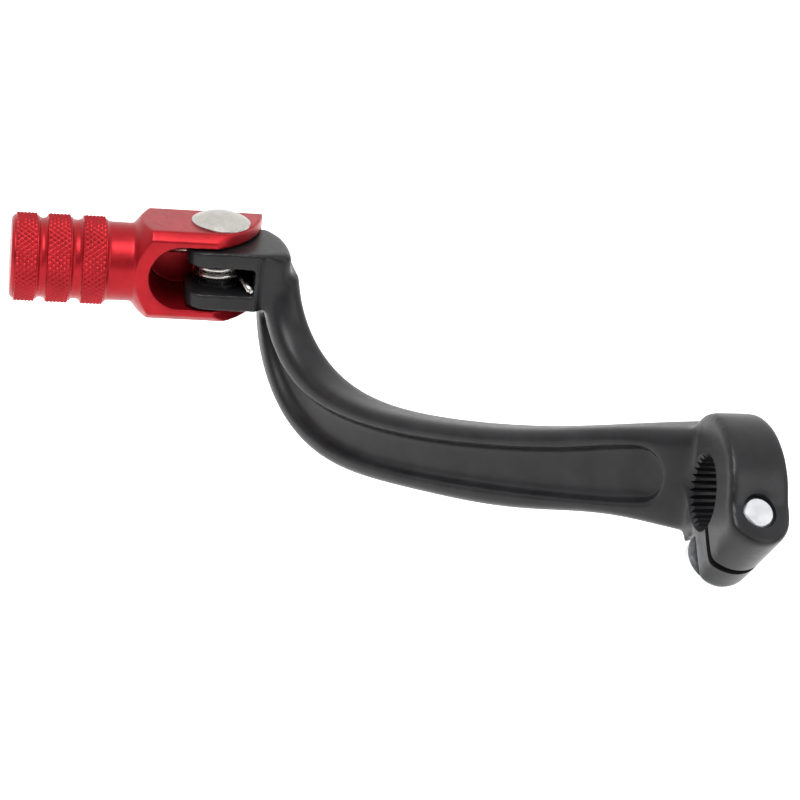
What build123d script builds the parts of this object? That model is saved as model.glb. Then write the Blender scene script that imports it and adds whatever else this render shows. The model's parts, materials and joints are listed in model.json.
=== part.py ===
from build123d import *
import math
import os

# Gear shift lever with a folding toe tip. Millimetres and degrees.
# Origin: on the splined bore's axis, inside the clamp boss. +X runs forward to the toe tip, +Y outboard
# along the shift shaft and +Z up. The fold joint has its own frame: z along the pin, y along the peg.

# --- fold joint -------------------------------------------------------------------------------------
JOINT = Vector(110.25, 58.92, -5.22)
PIN_LEAN = -4.1
TOE = 11.9
FOLD = Pos(JOINT) * Rot(PIN_LEAN, 0, 0) * Rot(0, 0, -TOE)
PIN_R = 3.0
RUNNING_GAP = 0.05
PIN_HEAD_R = 5.64
PIN_HEAD_RIM = 0.35
PIN_DOME_RISE = 1.75
PIN_BLIND_DEPTH = 9.0
SCREW_R = 2.0
SCREW_LENGTH = 7.5
SCREW_HEAD_R = 4.2
SCREW_HEAD_H = 2.2
SCREW_SOCKET_AF = 2.5
SCREW_SOCKET_DEPTH = 1.3
THREAD_GAP = 0.05

# --- toe tip: knurled peg and fork, turned and milled from one bar -----------------------------------
PEG_END_Y = 39.8
PEG_END_ROUND = 1.1
RING_R = 8.55
GROOVE_R = 7.6
NECK_R = 7.55
RING_EDGE = 0.55
RINGS = [(34.85, PEG_END_Y), (28.5, 33.05), (21.85, 26.35)]
NECK_END_Y = 16.5
FLARE_WAIST = (15.3, 9.0)
FLARE_END_Y = 13.5
BAR_R = 10.95
FORK_HALF_HEIGHT = 9.0
FORK_REAR_X = -8.0
FORK_FRONT_X = 8.0
FORK_WALL_INNER_X = 6.7
FORK_END_Y = -8.7
SLOT_HALF_HEIGHT = 6.3
SLOT_END_Y = 13.6
EAR_ARC = [(FORK_REAR_X, 0.9), (-1.2, -6.1), (FORK_FRONT_X, FORK_END_Y)]
LEG_HOLE_R = 0.8
LEG_HOLE_END_Y = 15.6

# --- lug on the arm: two plates with a window between them for the spring ---------------------------
LUG_HALF_HEIGHT = 5.9
LUG_EYE_R = 6.3
LUG_STOP_X = 6.6
LUG_REAR_X = -8.7
LUG_STOP_START_Y = -6.5
LUG_REAR_CORNER = [(LUG_REAR_X, 3.0), (-7.8, 5.2), (-5.0, LUG_EYE_R)]
LUG_REAR_END_Y = -12.3
LUG_INNER_EDGE = [(LUG_STOP_X, -9.9), (5.4, -10.9), (3.6, -12.0), (0.7, -12.9), (-4.7, -13.5), (-7.5, -13.5)]
LUG_SLOT_GAP = 0.3
VALLEY_R = 1.3
VALLEY_X = -9.1
VALLEY_Y = -8.45
VALLEY_TOP_Z = 5.3
WINDOW_HALF_HEIGHT = 2.65
WINDOW_END_Y = -6.55
EAR_SWEEP_R = 17.5
EAR_SWEEP_Z = 14.0
EAR_REAR_GAP = 0.35
EAR_END_GAP = 0.6
EAR_REST_DEPTH = 4.0

# --- bushes, sleeve and spring ----------------------------------------------------------------------
BUSH_R = 4.0
BUSH_FLANGE_R = 4.7
BUSH_FLANGE_T = 0.35
SLEEVE_R = 3.4
WIRE_R = 0.65
COIL_R = 4.2
COIL_PITCH = 1.4
COIL_LOW_Z = -1.6
COIL_LAST_TURN = 3
COIL_REAR_LEG_END = (-8.0, -5.85)
COIL_FORK_LEG_END_Y = 15.0

# --- clamp boss, slit and pinch bolt ----------------------------------------------------------------
BOSS_R = 13.4
BOSS_OUTER_Y = 5.65
BOSS_INNER_Y = -4.0
BOSS_FRONT_FLAT = 11.9
FACE_ALLOWANCE = 2.0
ROOT_RELIEF_R = 16.5
MOUTH_TILT = 7.9
BORE_TIP_R = 5.95
BORE_ROOT_R = 6.65
SPLINE_TEETH = 30
TOOTH_LAND_SHARE = 0.38
MOUTH_CHAMFER = 0.9
BOLT_ANGLE = 128.0
BOLT_OFFSET = 9.05
BOLT_Y = 2.2
BOLT_TIP = 10.9
BOLT_POINT_R = 2.4
BOLT_POINT_H = 0.6
BOLT_SEAT = -6.6
SLIT_WIDTH = 1.5
PINCH_TOP = 11.0
PINCH_LOBE_R = 6.0
CUT_REACH = 40.0
THREAD_R = 3.0
CLEAR_HOLE_R = 3.25
HEAD_ROOM_R = 5.5
BOLT_FLANGE_R = 5.0
BOLT_FLANGE_T = 1.3
BOLT_HEX_AF = 8.0
BOLT_HEX_H = 2.6

# --- forged arm --------------------------------------------------------------------------------------
# The arm's centreline from the boss to the lug: it runs outboard and down, then turns up into the lug.
SPINE = [
    (5.0, -2.5, 2.8),
    (21.0, 9.5, -6.0),
    (37.0, 19.5, -13.0),
    (54.0, 28.5, -19.1),
    (72.0, 36.5, -23.8),
    (82.2, 40.0, -24.8),
    (91.3, 43.0, -23.3),
    (99.8, 45.4, -18.4),
    (104.7, 47.0, -11.0),
    (106.1, 48.2, -3.0),
]
# Fraction of the centreline, then the section's heading, height, thickness and lean.
SECTIONS = [
    (0.00, 40.0, 15.2, 9.6, 4.0),
    (0.16, 36.0, 16.2, 9.0, 4.0),
    (0.32, 31.0, 14.6, 9.1, 3.0),
    (0.48, 26.0, 13.7, 9.3, 2.0),
    (0.63, 21.0, 13.6, 9.2, 0.0),
    (0.75, 15.0, 14.1, 8.8, -4.0),
    (0.86, 8.0, 14.3, 8.0, -8.0),
    (0.94, 3.0, 13.8, 7.3, -9.0),
    (1.00, 0.0, 13.2, 6.8, -5.0),
]
SECTION_CORNER = 2.4
POCKET_DEPTH = 2.5
POCKET_FLANGE = 3.3
POCKET_START = 0.13
POCKET_END = 0.93
POCKET_CORNER = 1.4
POCKET_STEPS = 8
POCKET_TAPER_RUN = 0.45
POCKET_TAPER_END = 1.12


def axis_plane(origin, direction):
    """A plane whose normal is the given direction."""
    return Plane(origin=origin, z_dir=direction)


def rod(start, end, radius):
    """A round bar between two points."""
    start = Vector(start)
    run = Vector(end) - start
    return extrude(axis_plane(start, run) * Circle(radius), run.length)


def block(low, high):
    """A box between two opposite corners."""
    size = [b - a for a, b in zip(low, high)]
    middle = [(a + b) / 2 for a, b in zip(low, high)]
    return Pos(*middle) * Box(*size)


def turned_about_y(outline):
    """Revolve (y, radius) points about the Y axis."""
    points = [(radius, y) for y, radius in outline]
    points = [(0.0, outline[0][0])] + points + [(0.0, outline[-1][0])]
    face = make_face(Polyline(*points, close=True))
    return revolve(face, Axis.Y)


# --- arm ---------------------------------------------------------------------------------------------
def section_values(fraction):
    """Heading, height, thickness and lean of the arm at a fraction of its centreline."""
    for before, after in zip(SECTIONS, SECTIONS[1:]):
        if fraction <= after[0]:
            share = (fraction - before[0]) / (after[0] - before[0])
            return [a + (b - a) * share for a, b in zip(before[1:], after[1:])]
    return list(SECTIONS[-1][1:])


def section_plane(spine, fraction):
    """Plane across the arm: local x points to its outboard side and local y to its top."""
    heading, _, _, lean = section_values(fraction)
    ahead = spine.tangent_at(fraction)
    level = Vector(-math.sin(math.radians(heading)), math.cos(math.radians(heading)), 0)
    side = (level - ahead * level.dot(ahead)).normalized()
    top = ahead.cross(side)
    turn = math.radians(lean)
    side = side * math.cos(turn) + top * math.sin(turn)
    return Plane(origin=spine.position_at(fraction), x_dir=side, z_dir=ahead)


def arm_beam(spine):
    """The forged bar, lofted through its sections."""
    faces = []
    for fraction, _, height, thickness, _ in SECTIONS:
        outline = RectangleRounded(thickness, height, SECTION_CORNER)
        faces.append(section_plane(spine, fraction) * outline)
    return loft(faces)


def arm_pocket(spine):
    """The recess along the outboard side, which narrows as it climbs to the lug."""
    faces = []
    for step in range(POCKET_STEPS + 1):
        fraction = POCKET_START + (POCKET_END - POCKET_START) * step / POCKET_STEPS
        _, height, thickness, _ = section_values(fraction)
        taper = min(1.0, (POCKET_TAPER_END - fraction) / POCKET_TAPER_RUN)
        pocket_height = (height - 2 * POCKET_FLANGE) * taper
        corner = min(POCKET_CORNER, pocket_height / 2.2)
        outline = RectangleRounded(2 * POCKET_DEPTH, pocket_height, corner)
        faces.append(section_plane(spine, fraction) * Pos(thickness / 2, 0) * outline)
    body = loft(faces)
    _, height, thickness, _ = section_values(POCKET_START)
    end_radius = height / 2 - POCKET_FLANGE
    end_plane = section_plane(spine, POCKET_START)
    across = end_plane.x_dir
    floor = end_plane.origin + across * (thickness / 2 - POCKET_DEPTH)
    return body + rod(floor, floor + across * 2 * POCKET_DEPTH, end_radius)


def boss_plane(y):
    """Plane across the boss at height y: local x runs along the pinch bolt, local -y along the slit."""
    turn = math.radians(BOLT_ANGLE)
    return Plane(origin=(0, y, 0), x_dir=(math.cos(turn), 0, math.sin(turn)), z_dir=(0, 1, 0))


def boss_body():
    """The round boss and the lobed pinch ears beside the slit, with its outer face slightly tilted."""
    length = BOSS_OUTER_Y - BOSS_INNER_Y + FACE_ALLOWANCE
    ear_height = PINCH_TOP - BOLT_SEAT
    web = Pos((PINCH_TOP + BOLT_SEAT) / 2, -BOLT_OFFSET / 2) * Rectangle(ear_height, BOLT_OFFSET)
    front = Pos(-BOSS_FRONT_FLAT - CUT_REACH / 2, 0) * Rectangle(CUT_REACH, CUT_REACH)
    solid = extrude(boss_plane(BOSS_INNER_Y) * (Circle(BOSS_R) - front), length)
    solid += extrude(boss_plane(BOSS_INNER_Y) * web, length)
    solid += rod(bolt_line(BOLT_SEAT), bolt_line(PINCH_TOP), PINCH_LOBE_R)
    below = Pos(0, -BOLT_OFFSET - CUT_REACH / 2) * Rectangle(2 * CUT_REACH, CUT_REACH)
    corner = extrude(boss_plane(BOSS_INNER_Y - 1) * below, BOLT_Y - BOSS_INNER_Y + 1)
    solid -= corner - rod(bolt_line(-CUT_REACH), bolt_line(CUT_REACH), PINCH_LOBE_R)
    beyond = Box(80, 20, 80, align=(Align.CENTER, Align.MIN, Align.CENTER))
    tilted = Pos(0, BOSS_OUTER_Y, 0) * Rot(0, 0, -MOUTH_TILT) * beyond
    return solid - tilted


def on_circle(radius, pitches):
    """A point of the spline's outline, at a number of tooth pitches round it."""
    turn = math.radians(pitches * 360 / SPLINE_TEETH)
    return (radius * math.cos(turn), radius * math.sin(turn))


def spline_cutter():
    """The bore with its serrations: a round land at each tooth tip and a pointed root between two teeth."""
    half_land = TOOTH_LAND_SHARE / 2
    edges = []
    for tooth in range(SPLINE_TEETH):
        land_start = on_circle(BORE_TIP_R, tooth - half_land)
        land_end = on_circle(BORE_TIP_R, tooth + half_land)
        root = on_circle(BORE_ROOT_R, tooth + 0.5)
        edges.append(ThreePointArc(land_start, on_circle(BORE_TIP_R, tooth), land_end))
        edges.append(Line(land_end, root))
        edges.append(Line(root, on_circle(BORE_TIP_R, tooth + 1 - half_land)))
    return extrude(boss_plane(-CUT_REACH) * make_face(edges), 2 * CUT_REACH)


def mouth_cone(end_y, direction):
    """Lead-in chamfer at one end of the bore."""
    wide = BORE_ROOT_R + MOUTH_CHAMFER
    cone = Cone(BORE_ROOT_R - MOUTH_CHAMFER, wide, 2 * MOUTH_CHAMFER)
    return axis_plane((0, end_y, 0), (0, direction, 0)) * cone


def bolt_line(along):
    """A point on the pinch bolt's axis, at a distance along it from the slit's middle."""
    local = boss_plane(BOLT_Y) * Pos(along, -BOLT_OFFSET, 0)
    return Vector(*local.position)


def slit_cutter():
    """The saw cut from the bore out between the pinch ears."""
    slit = Pos(0, 1 - BORE_TIP_R - CUT_REACH / 2) * Rectangle(SLIT_WIDTH, CUT_REACH)
    return extrude(boss_plane(-CUT_REACH) * slit, 2 * CUT_REACH)


def bolt_hole():
    """Clear below the slit, tapped above it, and open at both ears."""
    clear = rod(bolt_line(BOLT_SEAT - 12), bolt_line(0), CLEAR_HOLE_R)
    tapped = rod(bolt_line(0), bolt_line(PINCH_TOP + 5), THREAD_R + THREAD_GAP)
    head_room = rod(bolt_line(BOLT_SEAT - 14), bolt_line(BOLT_SEAT), HEAD_ROOM_R)
    return clear + tapped + head_room


def lug_outline():
    """Plan of the lug about the fold pin: a round eye, a flat rear face and a curved root at the arm."""
    rear_end = (LUG_REAR_X, LUG_REAR_END_Y)
    step = (LUG_EYE_R, LUG_STOP_START_Y + 1)
    edges = [
        Polyline((LUG_EYE_R, 0), step, (LUG_STOP_X, LUG_STOP_START_Y), LUG_INNER_EDGE[0]),
        Spline(*LUG_INNER_EDGE),
        Polyline(LUG_INNER_EDGE[-1], rear_end, LUG_REAR_CORNER[0]),
        ThreePointArc(*LUG_REAR_CORNER),
        Line(LUG_REAR_CORNER[-1], (0, LUG_EYE_R)),
        RadiusArc((0, LUG_EYE_R), (LUG_EYE_R, 0), LUG_EYE_R),
    ]
    return make_face(edges)


def slot_room():
    """Space the fork's round slot end leaves for the lug while the tip turns."""
    radius = SLOT_HALF_HEIGHT - LUG_SLOT_GAP
    centre = SLOT_END_Y - SLOT_HALF_HEIGHT
    full = centre + math.sqrt(radius**2 - LUG_HALF_HEIGHT**2)
    outline = make_face(
        [
            Line((0, -LUG_HALF_HEIGHT), (-full, -LUG_HALF_HEIGHT)),
            ThreePointArc((-full, -LUG_HALF_HEIGHT), (-centre - radius, 0), (-full, LUG_HALF_HEIGHT)),
            Line((-full, LUG_HALF_HEIGHT), (0, LUG_HALF_HEIGHT)),
            Line((0, LUG_HALF_HEIGHT), (0, -LUG_HALF_HEIGHT)),
        ]
    )
    upright = Plane.XZ * outline
    beside_arm = extrude(upright, 30, dir=(0, -1, 0))
    ahead = block((0, -30, -LUG_HALF_HEIGHT), (30, 0, LUG_HALF_HEIGHT))
    return revolve(upright, Axis.Z) + beside_arm + ahead


def lug_body():
    """The lug before its window and bores are cut."""
    slab = extrude(Pos(0, 0, -LUG_HALF_HEIGHT) * lug_outline(), 2 * LUG_HALF_HEIGHT)
    return FOLD * (slab & slot_room())


def lug_cutter():
    """The spring's window, the two bush bores and the valley beside the arm."""
    window = block(
        (LUG_REAR_X - 3, WINDOW_END_Y, -WINDOW_HALF_HEIGHT),
        (LUG_STOP_X + 3, 12, WINDOW_HALF_HEIGHT),
    )
    bores = rod((0, 0, -LUG_HALF_HEIGHT - 1), (0, 0, LUG_HALF_HEIGHT + 1), BUSH_R)
    valley = rod((VALLEY_X, VALLEY_Y, -20), (VALLEY_X, VALLEY_Y, VALLEY_TOP_Z), VALLEY_R)
    return FOLD * (window + bores + valley)


def ear_room():
    """Space over and under the lug that the fork's ears turn through."""
    low = rod((0, 0, -EAR_SWEEP_Z), (0, 0, -LUG_HALF_HEIGHT), EAR_SWEEP_R)
    high = rod((0, 0, LUG_HALF_HEIGHT), (0, 0, EAR_SWEEP_Z), EAR_SWEEP_R)
    arm_side_y = FORK_REAR_X - EAR_REAR_GAP
    arm_side = block((-CUT_REACH, -CUT_REACH, -CUT_REACH), (CUT_REACH, arm_side_y, CUT_REACH))
    at_rest = block(
        (LUG_STOP_X - EAR_REST_DEPTH, FORK_END_Y - EAR_END_GAP, -EAR_SWEEP_Z),
        (CUT_REACH, CUT_REACH, -LUG_HALF_HEIGHT),
    )
    return FOLD * ((low + high) - arm_side + at_rest)


def lever_arm():
    """Forged arm with clamp boss and lug, all one piece."""
    spine = Spline(*SPINE)
    beam = arm_beam(spine)
    beam -= extrude(boss_plane(BOSS_INNER_Y - CUT_REACH) * Circle(ROOT_RELIEF_R), CUT_REACH)
    solid = beam + boss_body() + lug_body()
    solid -= arm_pocket(spine)
    solid -= ear_room()
    solid -= lug_cutter()
    solid -= spline_cutter()
    solid -= mouth_cone(BOSS_OUTER_Y, 1)
    solid -= mouth_cone(BOSS_INNER_Y, -1)
    solid -= slit_cutter()
    solid -= bolt_hole()
    return solid


# --- toe tip -----------------------------------------------------------------------------------------
def peg_outline():
    """(y, radius) points of the turned peg, from the fork's end outward."""
    outline = [
        (FORK_END_Y, BAR_R),
        (FLARE_END_Y, BAR_R),
        FLARE_WAIST,
        (NECK_END_Y, NECK_R),
    ]
    for start, end in reversed(RINGS):
        last = end == PEG_END_Y
        edge = PEG_END_ROUND if last else RING_EDGE
        outline.append((start - RING_EDGE, GROOVE_R))
        outline.append((start, RING_R - 0.3))
        outline.append((start + RING_EDGE, RING_R))
        outline.append((end - edge, RING_R))
        outline.append((end, RING_R - edge if last else GROOVE_R + 0.3))
        if not last:
            outline.append((end + RING_EDGE, GROOVE_R))
    return outline


def fork_plan():
    """Plan of the fork's flats, with the long arc that clears the arm as the tip folds."""
    far_y = NECK_END_Y + 1
    return make_face(
        [
            ThreePointArc(*EAR_ARC),
            Line(EAR_ARC[2], (FORK_FRONT_X, far_y)),
            Line((FORK_FRONT_X, far_y), (FORK_REAR_X, far_y)),
            Line((FORK_REAR_X, far_y), EAR_ARC[0]),
        ]
    )


def fork_slot():
    """Slot open at the rear and at the ears' end, with a round far end."""
    centre_y = SLOT_END_Y - SLOT_HALF_HEIGHT
    depth = FORK_WALL_INNER_X - FORK_REAR_X + 5
    start_x = FORK_REAR_X - 5
    round_end = rod((start_x, centre_y, 0), (start_x + depth, centre_y, 0), SLOT_HALF_HEIGHT)
    straight = block(
        (start_x, FORK_END_Y - 5, -SLOT_HALF_HEIGHT),
        (FORK_WALL_INNER_X, centre_y, SLOT_HALF_HEIGHT),
    )
    return round_end + straight


def tip_body():
    """Fork and knurled peg as one machined piece."""
    turned = turned_about_y(peg_outline())
    far_y = NECK_END_Y + 1
    flats = extrude(Pos(0, 0, -FORK_HALF_HEIGHT) * fork_plan(), 2 * FORK_HALF_HEIGHT)
    beyond = block((-20, far_y - 0.01, -20), (20, PEG_END_Y + 5, 20))
    solid = turned & (flats + beyond)
    solid -= fork_slot()
    solid -= rod((0, 0, -20), (0, 0, 20), PIN_R + RUNNING_GAP / 2)
    leg_z = COIL_LOW_Z + coil_rise()
    solid -= rod((COIL_R, 8, leg_z), (COIL_R, LEG_HOLE_END_Y, leg_z), LEG_HOLE_R)
    return FOLD * solid


# --- pin, screw, bushes, sleeve and spring -----------------------------------------------------------
def dome(radius, rise):
    """A shallow spherical cap standing on the XY plane."""
    sphere_r = (radius**2 + rise**2) / (2 * rise)
    ball = Pos(0, 0, rise - sphere_r) * Sphere(sphere_r)
    return ball & block((-radius, -radius, 0), (radius, radius, rise + 1))


def pivot_pin():
    """Domed pin, tapped from below."""
    shank = rod((0, 0, 0.5 - FORK_HALF_HEIGHT), (0, 0, FORK_HALF_HEIGHT), PIN_R)
    rim = rod((0, 0, FORK_HALF_HEIGHT), (0, 0, FORK_HALF_HEIGHT + PIN_HEAD_RIM), PIN_HEAD_R)
    cap = Pos(0, 0, FORK_HALF_HEIGHT + PIN_HEAD_RIM) * dome(PIN_HEAD_R, PIN_DOME_RISE)
    blind_end = (0, 0, PIN_BLIND_DEPTH - FORK_HALF_HEIGHT)
    hole = rod((0, 0, -FORK_HALF_HEIGHT - 1), blind_end, SCREW_R + THREAD_GAP)
    return FOLD * (shank + rim + cap - hole)


def pivot_screw():
    """Button-head screw that holds the pin from below."""
    seat = -FORK_HALF_HEIGHT
    shank = rod((0, 0, seat), (0, 0, seat + SCREW_LENGTH), SCREW_R)
    rim = rod((0, 0, seat - PIN_HEAD_RIM), (0, 0, seat), SCREW_HEAD_R)
    cap = Pos(0, 0, seat - PIN_HEAD_RIM) * Rot(180, 0, 0) * dome(SCREW_HEAD_R, SCREW_HEAD_H - PIN_HEAD_RIM)
    socket = extrude(
        Pos(0, 0, seat - SCREW_HEAD_H - 1) * RegularPolygon(SCREW_SOCKET_AF / 2, 6, major_radius=False),
        SCREW_SOCKET_DEPTH + 1,
    )
    return FOLD * (shank + rim + cap - socket)


def pivot_bush(side):
    """Flanged bush pressed into one plate of the lug from the window; side is +1 above, -1 below."""
    inner = WINDOW_HALF_HEIGHT - BUSH_FLANGE_T
    spigot = rod((0, 0, side * inner), (0, 0, side * LUG_HALF_HEIGHT), BUSH_R - 0.005)
    flange = rod((0, 0, side * inner), (0, 0, side * WINDOW_HALF_HEIGHT), BUSH_FLANGE_R)
    hole = rod((0, 0, 0), (0, 0, side * 20), PIN_R + RUNNING_GAP)
    return FOLD * (spigot + flange - hole)


def spring_sleeve():
    """Thin sleeve between the bush flanges that the coils sit on."""
    half = WINDOW_HALF_HEIGHT - BUSH_FLANGE_T - 0.02
    tube = rod((0, 0, -half), (0, 0, half), SLEEVE_R)
    return FOLD * (tube - rod((0, 0, -20), (0, 0, 20), PIN_R + RUNNING_GAP))


def coil_start():
    """Angle round the pin where the rear leg runs off the coils."""
    leg_x, leg_y = COIL_REAR_LEG_END
    off_axis = math.acos(COIL_R / math.hypot(leg_x, leg_y))
    return math.degrees(math.atan2(leg_y, leg_x) + off_axis) % 360


def coil_rise():
    """Height of the coils between the two legs."""
    return COIL_PITCH * (COIL_LAST_TURN - coil_start() / 360)


def torsion_spring():
    """Coils round the sleeve, with one leg on the lug's window end and one in the fork."""
    coils = Pos(0, 0, COIL_LOW_Z) * Helix(COIL_PITCH, coil_rise(), COIL_R)
    coils = Rot(0, 0, coil_start()) * coils
    rear_leg = Line((*COIL_REAR_LEG_END, COIL_LOW_Z), coils @ 0)
    fork_leg = Line(coils @ 1, (COIL_R, COIL_FORK_LEG_END_Y, COIL_LOW_Z + coil_rise()))
    path = Wire([rear_leg, coils, fork_leg])
    section = axis_plane(rear_leg @ 0, rear_leg % 0) * Circle(WIRE_R)
    return FOLD * sweep(section, path=path, transition=Transition.TRANSFORMED)


def pinch_bolt():
    """Flanged hexagon bolt across the slit."""
    shank = rod(bolt_line(BOLT_SEAT), bolt_line(BOLT_TIP - BOLT_POINT_H), THREAD_R)
    ahead = bolt_line(1) - bolt_line(0)
    point = Cone(THREAD_R, BOLT_POINT_R, BOLT_POINT_H, align=(Align.CENTER, Align.CENTER, Align.MIN))
    point = axis_plane(bolt_line(BOLT_TIP - BOLT_POINT_H), ahead) * point
    flange = rod(bolt_line(BOLT_SEAT), bolt_line(BOLT_SEAT - BOLT_FLANGE_T), BOLT_FLANGE_R)
    hexagon = axis_plane(bolt_line(BOLT_SEAT - BOLT_FLANGE_T), -ahead) * RegularPolygon(
        BOLT_HEX_AF / 2, 6, major_radius=False
    )
    return shank + point + flange + extrude(hexagon, BOLT_HEX_H)


def main():
    """Write one STEP file per piece."""
    os.makedirs("parts", exist_ok=True)
    pieces = {
        "lever_arm": lever_arm(),
        "tip_body": tip_body(),
        "pivot_pin": pivot_pin(),
        "pivot_screw": pivot_screw(),
        "pivot_bush_upper": pivot_bush(1),
        "pivot_bush_lower": pivot_bush(-1),
        "spring_sleeve": spring_sleeve(),
        "torsion_spring": torsion_spring(),
        "pinch_bolt": pinch_bolt(),
    }
    for name, piece in pieces.items():
        export_step(piece, f"parts/{name}.step")


if __name__ == "__main__":
    main()
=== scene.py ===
import json
import math

import bmesh
import bpy
import numpy as np
from mathutils import Matrix, Vector


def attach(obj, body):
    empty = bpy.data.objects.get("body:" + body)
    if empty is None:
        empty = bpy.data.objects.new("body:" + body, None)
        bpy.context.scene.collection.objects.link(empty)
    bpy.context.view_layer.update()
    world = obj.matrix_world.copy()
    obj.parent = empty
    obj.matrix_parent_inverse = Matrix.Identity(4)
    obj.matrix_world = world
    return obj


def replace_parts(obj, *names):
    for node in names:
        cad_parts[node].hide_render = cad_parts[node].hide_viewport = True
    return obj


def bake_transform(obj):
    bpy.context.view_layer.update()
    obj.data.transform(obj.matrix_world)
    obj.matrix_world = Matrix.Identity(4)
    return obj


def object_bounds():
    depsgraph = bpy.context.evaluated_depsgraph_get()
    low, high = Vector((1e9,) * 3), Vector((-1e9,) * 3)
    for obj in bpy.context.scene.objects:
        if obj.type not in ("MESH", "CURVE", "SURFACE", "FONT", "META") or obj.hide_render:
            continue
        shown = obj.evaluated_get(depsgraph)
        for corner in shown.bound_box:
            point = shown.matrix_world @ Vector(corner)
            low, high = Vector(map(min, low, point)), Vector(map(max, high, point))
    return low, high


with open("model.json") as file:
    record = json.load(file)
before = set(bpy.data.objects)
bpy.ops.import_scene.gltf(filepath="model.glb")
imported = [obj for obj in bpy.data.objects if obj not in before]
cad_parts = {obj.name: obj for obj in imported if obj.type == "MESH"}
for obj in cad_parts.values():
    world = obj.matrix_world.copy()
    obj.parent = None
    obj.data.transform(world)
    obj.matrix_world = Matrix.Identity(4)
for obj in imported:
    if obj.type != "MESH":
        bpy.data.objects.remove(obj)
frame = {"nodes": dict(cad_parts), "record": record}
CAD_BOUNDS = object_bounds()

# --- driving sizes, in metres -------------------------------------------------------------------------
MM = 0.001
JOINT = frame["record"]["behaviour"]["joints"][0]
PIN_AXIS = Vector(JOINT["axis"]).normalized()
PIN_FOOT = Vector(JOINT["pos_m"])
TOE = math.radians(11.9)
BOLT_TURN = math.radians(128.0)
BOLT_OFFSET = 9.05 * MM
BOLT_Y = 2.2 * MM
BOLT_HOLE_R = 3.02 * MM
BOLT_PLUG_R = 3.5 * MM
BOLT_SEAT = -6.6 * MM
PINCH_TOP = 11.0 * MM
HEAD_ROOM_R = 5.5 * MM
BORE_PLUG_R = 8.0 * MM
THROUGH = 20 * MM
SLIT_WIDTH = 1.5 * MM
BORE_TIP_R = 5.95 * MM
BORE_ROOT_R = 6.65 * MM
SPLINE_TEETH = 30
TOOTH_LAND_SHARE = 0.38
MOUTH_CHAMFER = 0.9 * MM
BOSS_OUTER_Y = 5.65 * MM
BOSS_INNER_Y = -4.0 * MM
MOUTH_TILT = math.radians(7.9)
SLAB_GAP = 0.05 * MM
SLAB_DEPTH = 0.8 * MM
SLAB_OVERHANG = 0.2 * MM
SLAB_LOW = (-5 * MM, -25 * MM)
SLAB_HIGH = (12 * MM, 25 * MM)
LUG_START_X = 90 * MM
LUG_SOFTNESS = 0.1
LUG_BLEND = (6.6 * MM, 11.5 * MM)
WELD_GAP = 0.002 * MM
SOFTEN_SHARE = 0.5

ARM_VOXEL = 0.28 * MM
ARM_ROUNDS = 60
TIP_VOXEL = 0.16 * MM
RING_R = 8.55 * MM
TIP_ROUNDS = 12
RINGS = [(21.9 * MM, 26.3 * MM), (28.55 * MM, 33.0 * MM), (34.9 * MM, 39.0 * MM)]
RING_SINK = 0.5 * MM
KNURL_COUNT = 52
KNURL_LEAD = 0.75
KNURL_DEPTH = 0.3 * MM
KNURL_STEPS = 8
KNURL_ROW = 0.12 * MM
KNURL_EDGE = 0.35 * MM
KNURL_FADE = 0.3 * MM

WORLD_DIM = 0.22
WORLD_BRIGHT = 1.35
FLOOR_GLOW = 0.3
FLOOR_REACH = 3.0
FLOOR_DROP = 45 * MM
CAMERA_ANGLES = (23.1, 21.7, 10.5)
CAMERA_LENS = 137.5
CAMERA_AIM = (110.0, 59.7, -5.0)
AIM_SEEN_FROM_CAMERA = (-35.9, 26.0, -590.0)


# --- frames of reference ------------------------------------------------------------------------------
def fold_frame():
    """Matrix from the fold joint's own frame (z along the pin, y along the peg) to the row frame."""
    lean = math.atan2(PIN_AXIS.y, PIN_AXIS.z)
    turn = Matrix.Rotation(-lean, 4, "X") @ Matrix.Rotation(-TOE, 4, "Z")
    return Matrix.Translation(PIN_FOOT) @ turn


def bolt_frame():
    """Matrix from the pinch bolt's frame (z along the bolt to its tip) to the row frame."""
    along = Vector((math.cos(BOLT_TURN), 0, math.sin(BOLT_TURN)))
    down_slit = Vector((-math.sin(BOLT_TURN), 0, math.cos(BOLT_TURN)))
    foot = down_slit * BOLT_OFFSET + Vector((0, BOLT_Y, 0))
    side = Vector((0, 1, 0))
    rows = Matrix((down_slit, side, along)).transposed().to_4x4()
    return Matrix.Translation(foot) @ rows


FOLD = fold_frame()
BOLT = bolt_frame()


# --- mesh helpers -------------------------------------------------------------------------------------
def add(name, mesh):
    """A new object in the scene."""
    piece = bpy.data.objects.new(name, mesh)
    bpy.context.scene.collection.objects.link(piece)
    return piece


def cad_copy(node, name):
    """A separate, welded copy of a CAD node's mesh."""
    mesh = frame["nodes"][node].data.copy()
    mesh.materials.clear()
    work = bmesh.new()
    work.from_mesh(mesh)
    bmesh.ops.remove_doubles(work, verts=work.verts, dist=WELD_GAP)
    work.to_mesh(mesh)
    work.free()
    return add(name, mesh)


def settle(piece):
    """Apply the piece's modifiers."""
    bpy.context.view_layer.update()
    graph = bpy.context.evaluated_depsgraph_get()
    piece.data = bpy.data.meshes.new_from_object(piece.evaluated_get(graph))
    piece.modifiers.clear()


def remesh(piece, voxel):
    """Even, closed skin of small quads."""
    step = piece.modifiers.new("skin", "REMESH")
    step.mode = "VOXEL"
    step.voxel_size = voxel
    settle(piece)


def points_of(mesh):
    """Vertex positions as rows of x, y, z."""
    flat = np.empty(len(mesh.vertices) * 3, np.float32)
    mesh.vertices.foreach_get("co", flat)
    return flat.reshape(-1, 3).astype(np.float64)


def set_points(mesh, points):
    """Write vertex positions back."""
    mesh.vertices.foreach_set("co", points.astype(np.float32).ravel())
    mesh.update()


def in_frame(points, matrix):
    """Row-frame points in another frame's coordinates."""
    rows = np.array(matrix.inverted())
    return points @ rows[:3, :3].T + rows[:3, 3]


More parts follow.
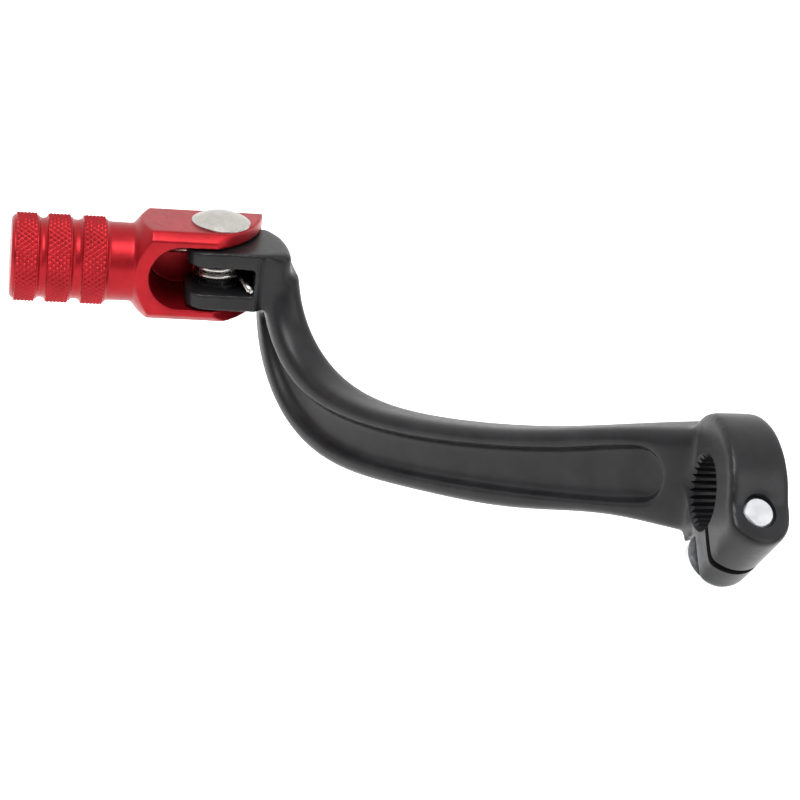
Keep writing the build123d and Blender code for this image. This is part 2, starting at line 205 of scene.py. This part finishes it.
def out_of_frame(points, matrix):
    """Another frame's coordinates as row-frame points."""
    rows = np.array(matrix)
    return points @ rows[:3, :3].T + rows[:3, 3]


def soften(mesh, share, rounds):
    """Average each vertex with its neighbours, by its own share of the way."""
    points = points_of(mesh)
    ends = np.empty(len(mesh.edges) * 2, np.int32)
    mesh.edges.foreach_get("vertices", ends)
    first, second = ends[0::2], ends[1::2]
    total = len(points)
    count = np.bincount(first, minlength=total) + np.bincount(second, minlength=total)
    for _ in range(rounds):
        for axis in range(3):
            column = points[:, axis]
            around = np.bincount(first, column[second], total) + np.bincount(second, column[first], total)
            points[:, axis] = column + (around / count - column) * share
    set_points(mesh, points)


def ramp(values, low, high):
    """0 below low, 1 above high, smooth between."""
    t = np.clip((values - low) / (high - low), 0, 1)
    return t * t * (3 - 2 * t)


def coat(piece, material):
    """Give every face of a piece one material."""
    piece.data.materials.clear()
    piece.data.materials.append(material)
    piece.data.polygons.foreach_set("material_index", [0] * len(piece.data.polygons))


def shade(piece, sharp=38.0):
    """Smooth shading that still breaks at machined edges."""
    piece.data.polygons.foreach_set("use_smooth", [True] * len(piece.data.polygons))
    piece.data.set_sharp_from_angle(angle=math.radians(sharp))


# --- materials ----------------------------------------------------------------------------------------
def principled(name):
    """A new material, its shader and its node tree."""
    material = bpy.data.materials.new(name)
    material.use_nodes = True
    tree = material.node_tree
    return material, tree.nodes["Principled BSDF"], tree


def noise(tree, scale, detail=4.0, rough=0.55):
    """Noise in the piece's own metres, times scale."""
    place = tree.nodes.new("ShaderNodeTexCoord")
    texture = tree.nodes.new("ShaderNodeTexNoise")
    texture.inputs["Scale"].default_value = scale
    texture.inputs["Detail"].default_value = detail
    texture.inputs["Roughness"].default_value = rough
    tree.links.new(place.outputs["Object"], texture.inputs["Vector"])
    return texture.outputs["Fac"]


def between(tree, factor, low, high, start=0.3, stop=0.7):
    """Map a factor to a range of numbers."""
    node = tree.nodes.new("ShaderNodeMapRange")
    node.inputs["From Min"].default_value = start
    node.inputs["From Max"].default_value = stop
    node.inputs["To Min"].default_value = low
    node.inputs["To Max"].default_value = high
    tree.links.new(factor, node.inputs["Value"])
    return node.outputs["Result"]


def tint(tree, factor, dark, light, start=0.35, stop=0.65):
    """Map a factor to a range of colours."""
    node = tree.nodes.new("ShaderNodeValToRGB")
    node.color_ramp.elements[0].position = start
    node.color_ramp.elements[1].position = stop
    node.color_ramp.elements[0].color = (*dark, 1)
    node.color_ramp.elements[1].color = (*light, 1)
    tree.links.new(factor, node.inputs["Fac"])
    return node.outputs["Color"]


def bumps(tree, shader, height, strength, distance):
    """Fine relief on the shader's normal."""
    node = tree.nodes.new("ShaderNodeBump")
    node.inputs["Strength"].default_value = strength
    node.inputs["Distance"].default_value = distance
    tree.links.new(height, node.inputs["Height"])
    tree.links.new(node.outputs["Normal"], shader.inputs["Normal"])


def black_coat():
    """Satin black coating on a forging, with faint mottling and a fine blasted grain."""
    material, shader, tree = principled("black_coat")
    colour = tint(tree, noise(tree, 160.0, 5.0), (0.006, 0.006, 0.0068), (0.011, 0.011, 0.0122))
    tree.links.new(colour, shader.inputs["Base Color"])
    tree.links.new(between(tree, noise(tree, 700.0), 0.3, 0.38), shader.inputs["Roughness"])
    shader.inputs["Specular IOR Level"].default_value = 0.22
    bumps(tree, shader, noise(tree, 3000.0, 2.0), 0.08, 0.00005)
    return material


def red_anodise():
    """Deep red anodising with a fine grain."""
    material, shader, tree = principled("red_anodise")
    colour = tint(tree, noise(tree, 240.0), (0.25, 0.005, 0.009), (0.31, 0.007, 0.012))
    tree.links.new(colour, shader.inputs["Base Color"])
    tree.links.new(between(tree, noise(tree, 900.0), 0.3, 0.4), shader.inputs["Roughness"])
    shader.inputs["Metallic"].default_value = 0.7
    shader.inputs["Specular IOR Level"].default_value = 0.35
    bumps(tree, shader, noise(tree, 5200.0, 2.0), 0.08, 0.00004)
    return material


def steel(name, dark, light, low, high, grain):
    """Bare metal with a fine grain."""
    material, shader, tree = principled(name)
    tree.links.new(tint(tree, noise(tree, 500.0), dark, light), shader.inputs["Base Color"])
    tree.links.new(between(tree, noise(tree, 1500.0), low, high), shader.inputs["Roughness"])
    shader.inputs["Metallic"].default_value = 1.0
    bumps(tree, shader, noise(tree, 2500.0, 2.0), grain, 0.00002)
    return material


def dark_polymer():
    """Glossy black acetal."""
    material, shader, tree = principled("dark_polymer")
    colour = tint(tree, noise(tree, 400.0), (0.012, 0.012, 0.013), (0.022, 0.022, 0.023))
    tree.links.new(colour, shader.inputs["Base Color"])
    tree.links.new(between(tree, noise(tree, 1200.0), 0.16, 0.26), shader.inputs["Roughness"])
    bumps(tree, shader, noise(tree, 3000.0, 2.0), 0.05, 0.00003)
    return material


# --- lever arm ----------------------------------------------------------------------------------------
def solid_from(name, rings):
    """A closed solid from rings of points with one count, capped at both ends."""
    count = len(rings[0])
    points = [point for ring in rings for point in ring]
    faces = [list(range(count))[::-1], [len(points) - count + step for step in range(count)]]
    for level in range(len(rings) - 1):
        for step in range(count):
            near = level * count + step
            beside = level * count + (step + 1) % count
            faces.append([near, beside, beside + count, near + count])
    mesh = bpy.data.meshes.new(name)
    mesh.from_pydata(points, [], faces)
    work = bmesh.new()
    work.from_mesh(mesh)
    bmesh.ops.recalc_face_normals(work, faces=work.faces)
    work.to_mesh(mesh)
    work.free()
    return add(name, mesh)


def combine(piece, tool, operation, solver="MANIFOLD"):
    """Cut a piece with a tool solid, or keep what they share, and discard the tool."""
    step = piece.modifiers.new("combine", "BOOLEAN")
    step.object = tool
    step.operation = operation
    step.solver = solver
    settle(piece)
    bpy.data.objects.remove(tool)


def spline_ring(y):
    """The serrated outline of the bore at a height: a land at each tooth tip and a pointed root."""
    half_land = TOOTH_LAND_SHARE / 2
    corners = ((-half_land, BORE_TIP_R), (half_land, BORE_TIP_R), (0.5, BORE_ROOT_R))
    ring = []
    for tooth in range(SPLINE_TEETH):
        for share, radius in corners:
            turn = BOLT_TURN - (tooth + share) * 2 * math.pi / SPLINE_TEETH
            ring.append((radius * math.cos(turn), y, radius * math.sin(turn)))
    return ring


def round_ring(matrix, radius, height, count=96):
    """A circle in a frame's XY plane, at a height along its z."""
    ring = []
    for step in range(count):
        turn = 2 * math.pi * step / count
        ring.append(matrix @ Vector((radius * math.cos(turn), radius * math.sin(turn), height)))
    return ring


def cone(matrix, low, high):
    """A round solid between two (radius, height) ends in a frame."""
    return solid_from("cone", [round_ring(matrix, *low), round_ring(matrix, *high)])


def plate(matrix, low, high):
    """A box between two opposite corners in a frame."""
    rings = []
    for z in (low[2], high[2]):
        corners = ((low[0], low[1]), (high[0], low[1]), (high[0], high[1]), (low[0], high[1]))
        rings.append([matrix @ Vector((x, y, z)) for x, y in corners])
    return solid_from("plate", rings)


def boss_face_frame():
    """Frame on the boss's tilted outer face, z along its normal."""
    tilt = Matrix.Rotation(-MOUTH_TILT, 4, "Z") @ Matrix.Rotation(-math.pi / 2, 4, "X")
    return Matrix.Translation((0, BOSS_OUTER_Y, 0)) @ tilt


def slit_filler():
    """A slab of the ear beside the slit, stretched across it, so the ears can be rounded as one."""
    slab = cad_copy("lever_arm", "slit_filler")
    near = SLIT_WIDTH / 2 + SLAB_GAP
    far = near + SLAB_DEPTH
    combine(slab, plate(BOLT, (*SLAB_LOW, near), (*SLAB_HIGH, far)), "INTERSECT", "EXACT")
    local = in_frame(points_of(slab.data), BOLT)
    local[:, 2] = (local[:, 2] - (near + far) / 2) / (far - near) * (SLIT_WIDTH + SLAB_OVERHANG)
    set_points(slab.data, out_of_frame(local, BOLT))
    return slab


def absorb(piece, extra):
    """Add another object's skin to a piece's mesh and discard the object."""
    work = bmesh.new()
    work.from_mesh(piece.data)
    work.from_mesh(extra.data)
    work.to_mesh(piece.data)
    work.free()
    bpy.data.objects.remove(extra)


def forging_share(points):
    """How far each point of the arm may soften: all the way on the forging, barely on the milled lug."""
    at_fold = in_frame(points, FOLD)
    lug = np.maximum(LUG_SOFTNESS, ramp(-at_fold[:, 1], *LUG_BLEND))
    return np.where(points[:, 0] > LUG_START_X, lug, 1.0)


def make_arm(material):
    """Forged arm: its edges are rounded first, then the bore, slit and bolt hole are cut crisp."""
    arm = cad_copy("lever_arm", "arm_forging")
    face = boss_face_frame()
    along_bore = Matrix.Rotation(-math.pi / 2, 4, "X")
    plug = [round_ring(along_bore, BORE_PLUG_R, BOSS_INNER_Y), round_ring(face, BORE_PLUG_R, 0.0)]
    absorb(arm, solid_from("plug", plug))
    absorb(arm, cone(BOLT, (BOLT_PLUG_R, BOLT_SEAT), (BOLT_PLUG_R, PINCH_TOP)))
    absorb(arm, slit_filler())
    remesh(arm, ARM_VOXEL)
    soften(arm.data, SOFTEN_SHARE * forging_share(points_of(arm.data)), ARM_ROUNDS)
    chamfer_low = (BORE_TIP_R - 0.1 * MM, -MOUTH_CHAMFER)
    chamfer_high = (BORE_ROOT_R + 0.3 * MM + THROUGH, THROUGH)
    combine(arm, solid_from("bore", [spline_ring(-THROUGH), spline_ring(THROUGH)]), "DIFFERENCE")
    combine(arm, cone(face, chamfer_low, chamfer_high), "DIFFERENCE")
    combine(arm, cone(BOLT, (BOLT_HOLE_R, -THROUGH), (BOLT_HOLE_R, THROUGH)), "DIFFERENCE")
    combine(arm, cone(BOLT, (HEAD_ROOM_R, -THROUGH), (HEAD_ROOM_R, BOLT_SEAT)), "DIFFERENCE")
    slit_start = MM + BOLT_OFFSET - BORE_TIP_R
    half = SLIT_WIDTH / 2
    combine(arm, plate(BOLT, (-slit_start, -THROUGH, -half), (THROUGH, THROUGH, half)), "DIFFERENCE")
    shade(arm)
    coat(arm, material)
    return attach(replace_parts(arm, "lever_arm"), "arm")


# --- toe tip ------------------------------------------------------------------------------------------
def groove(turns):
    """Depth share of a row of V grooves, one per turn."""
    return 1 - 2 * np.abs(turns - np.round(turns))


def sink_rings(mesh):
    """Turn the three rings down, to leave room for their knurled skins."""
    local = in_frame(points_of(mesh), FOLD)
    radius = np.hypot(local[:, 0], local[:, 2])
    covered = np.zeros(len(local))
    for start, end in RINGS:
        inside = np.abs(local[:, 1] - (start + end) / 2) < (end - start) / 2 + RING_SINK
        covered = np.maximum(covered, inside)
    keep = 1 - covered * np.maximum(radius - RING_R + RING_SINK, 0) / np.maximum(radius, MM)
    local[:, 0] *= keep
    local[:, 2] *= keep
    set_points(mesh, out_of_frame(local, FOLD))


def knurled_ring(start, end):
    """Diamond-knurled skin of one ring, with broken edges that run down into the peg."""
    columns = KNURL_COUNT * KNURL_STEPS
    rows = round((end - start) / KNURL_ROW)
    turn, along = np.meshgrid(np.arange(columns) / KNURL_STEPS, np.linspace(start, end, rows))
    lead = along * KNURL_LEAD * KNURL_COUNT / (2 * math.pi * RING_R)
    from_end = np.minimum(along - start, end - along)
    cut = KNURL_DEPTH * np.maximum(groove(turn + lead), groove(turn - lead)) * ramp(from_end, 0, KNURL_FADE)
    edge = RING_SINK * (1 - np.sqrt(1 - (1 - np.clip(from_end / KNURL_EDGE, 0, 1)) ** 2))
    radius = RING_R - cut - edge
    angle = turn * 2 * math.pi / KNURL_COUNT
    local = np.stack([radius * np.cos(angle), along, radius * np.sin(angle)], axis=-1).reshape(-1, 3)
    cells = np.arange(rows * columns).reshape(rows, columns)
    beside = np.roll(cells, -1, axis=1)
    faces = np.stack([cells[:-1], cells[1:], beside[1:], beside[:-1]], axis=-1).reshape(-1, 4)
    mesh = bpy.data.meshes.new("knurl")
    mesh.from_pydata(out_of_frame(local, FOLD).tolist(), [], faces.tolist())
    return add("knurl", mesh)


def make_tip(material):
    """Fork and peg with small broken edges and a real knurl."""
    tip = cad_copy("tip_body", "tip_machined")
    remesh(tip, TIP_VOXEL)
    soften(tip.data, SOFTEN_SHARE, TIP_ROUNDS)
    sink_rings(tip.data)
    for start, end in RINGS:
        absorb(tip, knurled_ring(start, end))
    shade(tip)
    coat(tip, material)
    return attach(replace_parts(tip, "tip_body"), "tip")


# --- spring and small hardware --------------------------------------------------------------------------
def make_spring(material):
    """Torsion spring: a shaded copy of the CAD node, fixed in place in the row frame."""
    spring = cad_copy("torsion_spring", "spring_wire")
    shade(spring)
    coat(spring, material)
    heights = in_frame(points_of(spring.data), FOLD)[:, 2]
    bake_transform(spring)
    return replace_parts(spring, "torsion_spring")


def dress(node, material):
    """Material on a CAD node that is shown as it is."""
    coat(frame["nodes"][node], material)


# --- stage, light and camera ----------------------------------------------------------------------------
def look(place, target):
    """Rotation that points an object's -Z from place at target."""
    return (Vector(target) - Vector(place)).to_track_quat("-Z", "Y").to_euler()


def softbox(name, place, target, size, power):
    """A square area light."""
    lamp = bpy.data.lights.new(name, "AREA")
    lamp.shape = "RECTANGLE"
    lamp.size, lamp.size_y = size
    lamp.energy = power
    body = add(name, lamp)
    body.location = place
    body.rotation_euler = look(place, target)


def pale_floor():
    """A pale floor under the part."""
    low, _ = CAD_BOUNDS
    mesh = bpy.data.meshes.new("floor")
    reach = FLOOR_REACH
    corners = [(-reach, -reach, 0), (reach, -reach, 0), (reach, reach, 0), (-reach, reach, 0)]
    mesh.from_pydata(corners, [], [(0, 1, 2, 3)])
    floor = add("floor", mesh)
    floor.location.z = low[2] - FLOOR_DROP
    material, shader, tree = principled("floor_paper")
    colour = tint(tree, noise(tree, 3.0), (0.93, 0.93, 0.93), (0.95, 0.95, 0.95))
    tree.links.new(colour, shader.inputs["Base Color"])
    shader.inputs["Roughness"].default_value = 0.9
    shader.inputs["Emission Color"].default_value = (1, 1, 1, 1)
    shader.inputs["Emission Strength"].default_value = FLOOR_GLOW
    floor.data.materials.append(material)


def set_world():
    """White surroundings, brighter above and beyond the part than on the camera's side."""
    world = bpy.data.worlds.new("studio")
    world.use_nodes = True
    tree = world.node_tree
    place = tree.nodes.new("ShaderNodeTexCoord")
    facing = tree.nodes.new("ShaderNodeVectorMath")
    facing.operation = "DOT_PRODUCT"
    facing.inputs[1].default_value = Vector((0.75, -0.3, 0.6)).normalized()
    tree.links.new(place.outputs["Generated"], facing.inputs[0])
    strength = between(tree, facing.outputs["Value"], WORLD_DIM, WORLD_BRIGHT, -0.7, 0.5)
    tree.links.new(strength, tree.nodes["Background"].inputs["Strength"])
    tree.nodes["Background"].inputs["Color"].default_value = (1, 1, 1, 1)
    bpy.context.scene.world = world
    bpy.context.scene.view_settings.view_transform = "Standard"


def set_camera():
    """Camera behind and outboard of the lever, a little above it and rolled."""
    azimuth, height, roll = (math.radians(angle) for angle in CAMERA_ANGLES)
    level = math.cos(height)
    back = Vector((-level * math.cos(azimuth), level * math.sin(azimuth), math.sin(height)))
    right = Vector((0, 0, 1)).cross(back).normalized()
    up = back.cross(right)
    turned_right = right * math.cos(roll) + up * math.sin(roll)
    turned_up = up * math.cos(roll) - right * math.sin(roll)
    rows = Matrix((turned_right, turned_up, back))
    lens = bpy.data.cameras.new("camera")
    lens.sensor_width = 36.0
    lens.lens = CAMERA_LENS
    lens.clip_end = 20.0
    camera = add("camera", lens)
    turn = rows.transposed()
    place = Vector(CAMERA_AIM) * MM - turn @ (Vector(AIM_SEEN_FROM_CAMERA) * MM)
    camera.matrix_world = Matrix.Translation(place) @ turn.to_4x4()
    bpy.context.scene.camera = camera


black = black_coat()
red = red_anodise()
stainless = steel("stainless", (0.4, 0.385, 0.36), (0.46, 0.445, 0.415), 0.24, 0.32, 0.04)
zinc = steel("zinc_plate", (0.5, 0.51, 0.53), (0.62, 0.63, 0.65), 0.28, 0.42, 0.1)
polymer = dark_polymer()

make_arm(black)
make_tip(red)
make_spring(stainless)
dress("pivot_pin", stainless)
dress("pivot_screw", stainless)
dress("pinch_bolt", zinc)
dress("pivot_bush_upper", polymer)
dress("pivot_bush_lower", polymer)
dress("spring_sleeve", polymer)

pale_floor()
set_world()
softbox("key", (-0.25, 0.35, 0.75), (0.05, 0.03, 0), (0.5, 0.5), 7.0)
softbox("fill", (-0.6, -0.35, 0.35), (0.05, 0.03, 0), (0.4, 0.6), 2.0)
set_camera()
